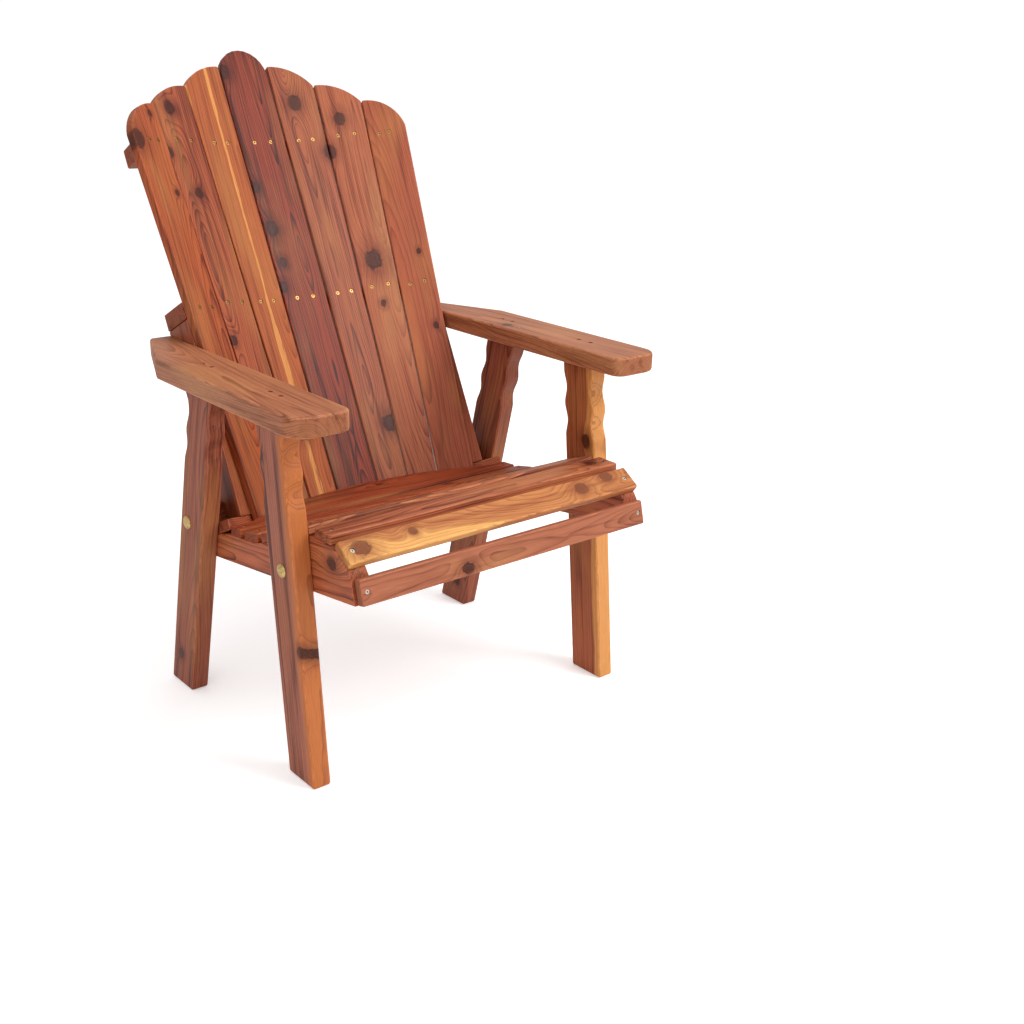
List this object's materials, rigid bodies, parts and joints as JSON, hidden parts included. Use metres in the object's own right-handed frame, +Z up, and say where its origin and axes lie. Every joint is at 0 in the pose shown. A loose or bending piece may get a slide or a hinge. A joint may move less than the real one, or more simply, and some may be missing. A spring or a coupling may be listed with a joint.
{
  "type": "adirondack chair",
  "caption": "Tall fan-backed wooden garden chair with a low sloping slatted seat, broad flat arms, scalloped legs and a hollow back on crescent rails.",
  "frame": {"origin": "on the floor in the middle of the chair's footprint box", "axes": "+Z up; the seat's front faces -Y; +X is the sitter's left"},
  "size_m": [0.736, 0.8538, 1.1067],
  "materials": {
    "cedar_legs": "satin oil",
    "cedar_arms": "satin oil",
    "cedar_seat_frame": "satin oil",
    "cedar_seat_slats": "satin oil",
    "cedar_nose": "satin oil",
    "cedar_back_slats": "satin oil",
    "cedar_back_frame": "satin oil",
    "plated_bolts": "yellow zinc plate, satin",
    "plated_screws": "yellow zinc plate, dull"
  },
  "bodies": {
    "root": {"leg_front_right": "cedar_legs", "leg_front_left": "cedar_legs", "leg_rear_right": "cedar_legs", "leg_rear_left": "cedar_legs", "arm_right": "cedar_arms", "arm_left": "cedar_arms", "seat_rail_right": "cedar_seat_frame", "seat_rail_left": "cedar_seat_frame", "seat_apron": "cedar_seat_frame", "seat_nose_slat": "cedar_nose", "seat_slat_1": "cedar_seat_slats", "seat_slat_2": "cedar_seat_slats", "seat_slat_3": "cedar_seat_slats", "seat_slat_4": "cedar_seat_slats", "seat_slat_5": "cedar_seat_slats", "seat_slat_contoured": "cedar_seat_slats", "back_slat_1": "cedar_back_slats", "back_slat_2": "cedar_back_slats", "back_slat_3": "cedar_back_slats", "back_slat_4": "cedar_back_slats", "back_slat_5": "cedar_back_slats", "back_slat_6": "cedar_back_slats", "back_slat_7": "cedar_back_slats", "back_rail_lower": "cedar_back_frame", "back_rail_middle": "cedar_back_frame", "back_rail_top": "cedar_back_frame", "back_upright_right": "cedar_back_frame", "back_upright_left": "cedar_back_frame", "leg_bolts": "plated_bolts", "leg_bolt_washers": "plated_bolts", "leg_bolt_nuts": "plated_bolts", "arm_bolts": "plated_bolts", "arm_bolt_washers": "plated_bolts", "arm_bolt_nuts": "plated_bolts", "arm_screws": "plated_screws", "seat_slat_screws": "plated_screws", "lower_rail_screws": "plated_screws", "upright_screws": "plated_screws", "back_screws_lower": "plated_screws", "back_screws_middle": "plated_screws", "back_screws_top": "plated_screws"}
  },
  "joints": []
}
